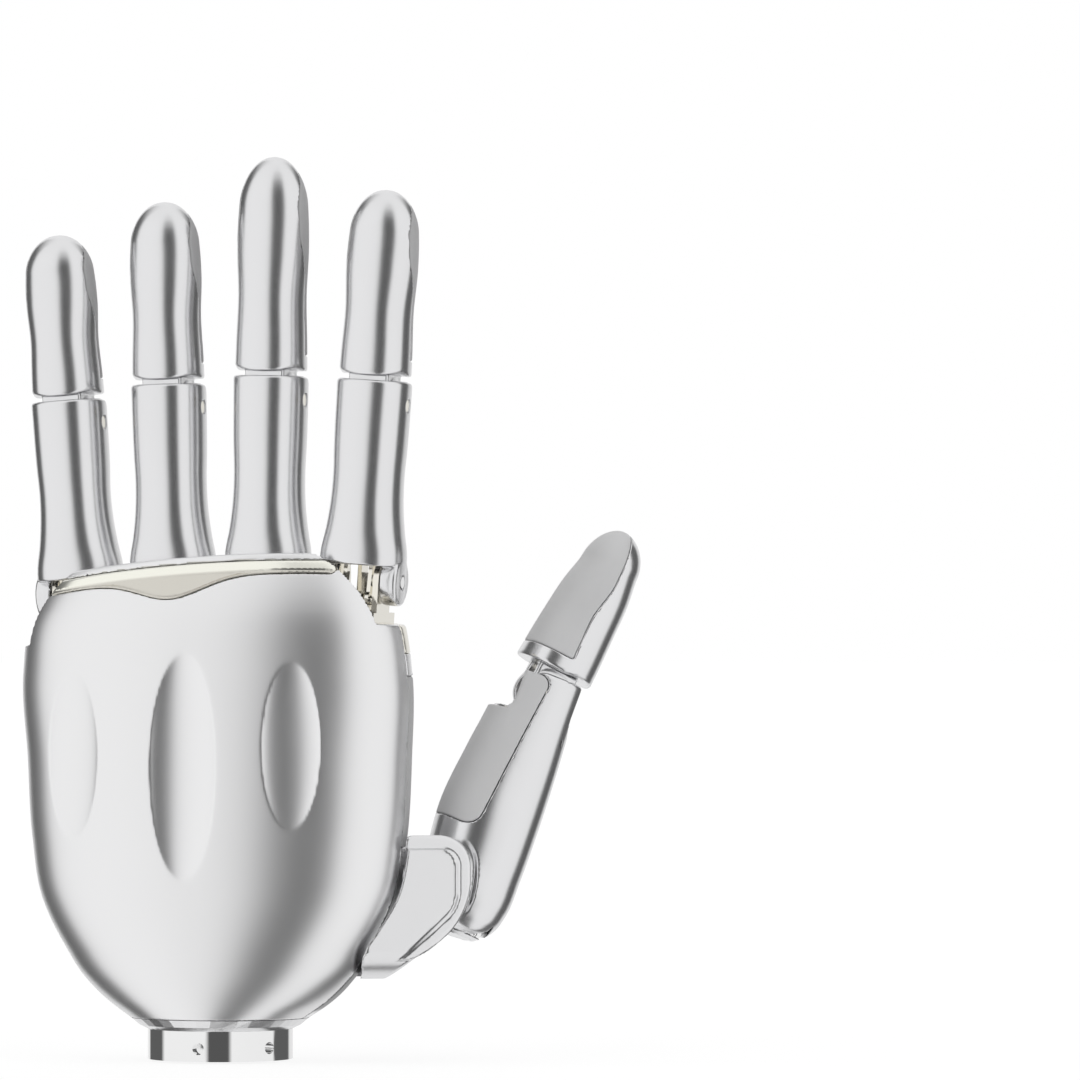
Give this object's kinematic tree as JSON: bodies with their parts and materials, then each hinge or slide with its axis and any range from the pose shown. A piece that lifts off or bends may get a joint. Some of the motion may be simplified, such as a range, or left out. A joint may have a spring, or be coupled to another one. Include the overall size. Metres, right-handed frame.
{
  "type": "dexterous robot hand",
  "caption": "Left robot hand with jointed fingers and thumb, pull-rod knuckles, linked fingertips, soft pads and a round wrist flange.",
  "frame": {"origin": "centre of the wrist flange's lower face", "axes": "+Z along the fingers, -Y out of the palm, -X towards the thumb"},
  "size_m": [0.1258, 0.0586, 0.1888],
  "materials": {
    "silver": "satin bead-blasted",
    "gloss_silver": "glossy silver",
    "chrome": "polished",
    "champagne": "polished champagne",
    "rubber": "matte soft-touch",
    "dark": "matte",
    "board": "matte",
    "brass": "satin"
  },
  "bodies": {
    "palm": {"wrist_flange": "chrome", "flange_screws": "chrome", "base_cap": "silver", "palm_frame": "silver", "palm_pad": "rubber", "back_shell": "gloss_silver", "back_inlay": "champagne", "knuckle_band": "champagne", "knuckle_screws": "chrome", "knuckle_axles": "chrome", "chassis": "silver", "control_board": "board", "wrist_connector": "dark", "index_knuckle_block": "chrome", "middle_knuckle_block": "chrome", "ring_knuckle_block": "chrome", "little_knuckle_block": "chrome", "index_linear_drive": "dark", "middle_linear_drive": "dark", "ring_linear_drive": "dark", "little_linear_drive": "dark", "thumb_swing_motor": "dark"},
    "index_proximal": {"index_proximal_link": "silver", "index_tip_axle": "chrome"},
    "index_distal": {"index_distal_shell": "silver", "index_distal_pad": "rubber"},
    "index_coupler": {"index_coupler_link": "chrome"},
    "index_rod": {"index_pull_rod": "chrome"},
    "middle_proximal": {"middle_proximal_link": "silver", "middle_tip_axle": "chrome"},
    "middle_distal": {"middle_distal_shell": "silver", "middle_distal_pad": "rubber"},
    "middle_coupler": {"middle_coupler_link": "chrome"},
    "middle_rod": {"middle_pull_rod": "chrome"},
    "ring_proximal": {"ring_proximal_link": "silver", "ring_tip_axle": "chrome"},
    "ring_distal": {"ring_distal_shell": "silver", "ring_distal_pad": "rubber"},
    "ring_coupler": {"ring_coupler_link": "chrome"},
    "ring_rod": {"ring_pull_rod": "chrome"},
    "little_proximal": {"little_proximal_link": "silver", "little_tip_axle": "chrome"},
    "little_distal": {"little_distal_shell": "silver", "little_distal_pad": "rubber"},
    "little_coupler": {"little_coupler_link": "chrome"},
    "little_rod": {"little_pull_rod": "chrome"},
    "thumb_bracket": {"thumb_bracket": "silver", "thumb_fold_axles": "chrome", "thumb_hinge_shaft": "chrome"},
    "thumb_pinion": {"thumb_pinion": "brass"},
    "thumb_link": {"thumb_link": "silver", "thumb_cover": "rubber", "thumb_screws": "chrome", "thumb_tip_axle": "chrome", "thumb_fold_motor": "dark"},
    "thumb_distal": {"thumb_distal_shell": "silver", "thumb_distal_pad": "rubber"},
    "thumb_coupler": {"thumb_coupler": "chrome"}
  },
  "joints": [
    {"name": "index_flexion", "type": "hinge", "parent": "palm", "child": "index_proximal", "pos_m": [-0.031, 0, 0.1003], "axis": [0.9977, 0, 0.068], "range_deg": [0, 80]},
    {"name": "index_tip_flexion", "type": "hinge", "parent": "index_proximal", "child": "index_distal", "pos_m": [-0.0335, 0, 0.13701], "axis": [0.9977, 0, 0.068], "range_deg": [0, 80]},
    {"name": "index_coupler_turn", "type": "hinge", "parent": "index_distal", "child": "index_coupler", "pos_m": [-0.03329, -0.00242, 0.13384], "axis": [0.9977, 0, 0.068], "range_deg": [-100, 0]},
    {"name": "index_rod_slide", "type": "slide", "parent": "palm", "child": "index_rod", "axis": [-0.068, 0, 0.9977], "range_m": [-0.0078, 0]},
    {"name": "middle_flexion", "type": "hinge", "parent": "palm", "child": "middle_proximal", "pos_m": [-0.0104, 0, 0.1003], "axis": [0.9998, 0, 0.0175], "range_deg": [0, 80]},
    {"name": "middle_tip_flexion", "type": "hinge", "parent": "middle_proximal", "child": "middle_distal", "pos_m": [-0.01106, 0, 0.13799], "axis": [0.9998, 0, 0.0175], "range_deg": [0, 80]},
    {"name": "middle_coupler_turn", "type": "hinge", "parent": "middle_distal", "child": "middle_coupler", "pos_m": [-0.011, -0.00242, 0.13481], "axis": [0.9998, 0, 0.0175], "range_deg": [-100, 0]},
    {"name": "middle_rod_slide", "type": "slide", "parent": "palm", "child": "middle_rod", "axis": [-0.0175, 0, 0.9998], "range_m": [-0.0078, 0]},
    {"name": "ring_flexion", "type": "hinge", "parent": "palm", "child": "ring_proximal", "pos_m": [0.0103, 0, 0.0989], "axis": [0.9997, 0, -0.0262], "range_deg": [0, 80]},
    {"name": "ring_tip_flexion", "type": "hinge", "parent": "ring_proximal", "child": "ring_distal", "pos_m": [0.01128, 0, 0.13629], "axis": [0.9997, 0, -0.0262], "range_deg": [0, 80]},
    {"name": "ring_coupler_turn", "type": "hinge", "parent": "ring_distal", "child": "ring_coupler", "pos_m": [0.0112, -0.00242, 0.13311], "axis": [0.9997, 0, -0.0262], "range_deg": [-100, 0]},
    {"name": "ring_rod_slide", "type": "slide", "parent": "palm", "child": "ring_rod", "axis": [0.0262, 0, 0.9997], "range_m": [-0.0078, 0]},
    {"name": "little_flexion", "type": "hinge", "parent": "palm", "child": "little_proximal", "pos_m": [0.0306, 0, 0.0971], "axis": [0.9974, 0, -0.0715], "range_deg": [0, 80]},
    {"name": "little_tip_flexion", "type": "hinge", "parent": "little_proximal", "child": "little_distal", "pos_m": [0.03317, 0, 0.13291], "axis": [0.9974, 0, -0.0715], "range_deg": [0, 80]},
    {"name": "little_coupler_turn", "type": "hinge", "parent": "little_distal", "child": "little_coupler", "pos_m": [0.03294, -0.00242, 0.12974], "axis": [0.9974, 0, -0.0715], "range_deg": [-100, 0]},
    {"name": "little_rod_slide", "type": "slide", "parent": "palm", "child": "little_rod", "axis": [0.0715, 0, 0.9974], "range_m": [-0.0078, 0]},
    {"name": "thumb_swing", "type": "hinge", "parent": "palm", "child": "thumb_bracket", "pos_m": [-0.016, -0.0082, 0.0315], "axis": [0, 0, -1], "range_deg": [-52, 8]},
    {"name": "thumb_pinion_turn", "type": "hinge", "parent": "palm", "child": "thumb_pinion", "pos_m": [-0.016, 0.0026, 0.055], "axis": [0, 0, -1], "range_deg": [-12, 76]},
    {"name": "thumb_fold", "type": "hinge", "parent": "thumb_bracket", "child": "thumb_link", "pos_m": [-0.04846, -0.01458, 0.0315], "axis": [0.5, -0.866, 0], "range_deg": [-10, 12]},
    {"name": "thumb_tip_fold", "type": "hinge", "parent": "thumb_link", "child": "thumb_distal", "pos_m": [-0.06335, -0.02318, 0.07631], "axis": [0.5, -0.866, 0], "range_deg": [-10, 12]},
    {"name": "thumb_coupler_turn", "type": "hinge", "parent": "thumb_distal", "child": "thumb_coupler", "pos_m": [-0.06021, -0.02137, 0.07464], "axis": [0.5, -0.866, 0], "range_deg": [-16, 14]}
  ],
  "couplings": [
    {"joint": "index_tip_flexion", "follows": "index_flexion", "ratio": 1},
    {"joint": "index_coupler_turn", "follows": "index_flexion", "ratio": -1.2268},
    {"joint": "index_rod_slide", "follows": "index_flexion", "m_per_rad": -0.0055313},
    {"joint": "middle_tip_flexion", "follows": "middle_flexion", "ratio": 1},
    {"joint": "middle_coupler_turn", "follows": "middle_flexion", "ratio": -1.2216},
    {"joint": "middle_rod_slide", "follows": "middle_flexion", "m_per_rad": -0.0055313},
    {"joint": "ring_tip_flexion", "follows": "ring_flexion", "ratio": 1},
    {"joint": "ring_coupler_turn", "follows": "ring_flexion", "ratio": -1.2233},
    {"joint": "ring_rod_slide", "follows": "ring_flexion", "m_per_rad": -0.0055313},
    {"joint": "little_tip_flexion", "follows": "little_flexion", "ratio": 1},
    {"joint": "little_coupler_turn", "follows": "little_flexion", "ratio": -1.2323},
    {"joint": "little_rod_slide", "follows": "little_flexion", "m_per_rad": -0.0055313},
    {"joint": "thumb_pinion_turn", "follows": "thumb_swing", "ratio": -1.4545},
    {"joint": "thumb_tip_fold", "follows": "thumb_fold", "ratio": 1},
    {"joint": "thumb_coupler_turn", "follows": "thumb_fold", "ratio": -1.1378}
  ]
}
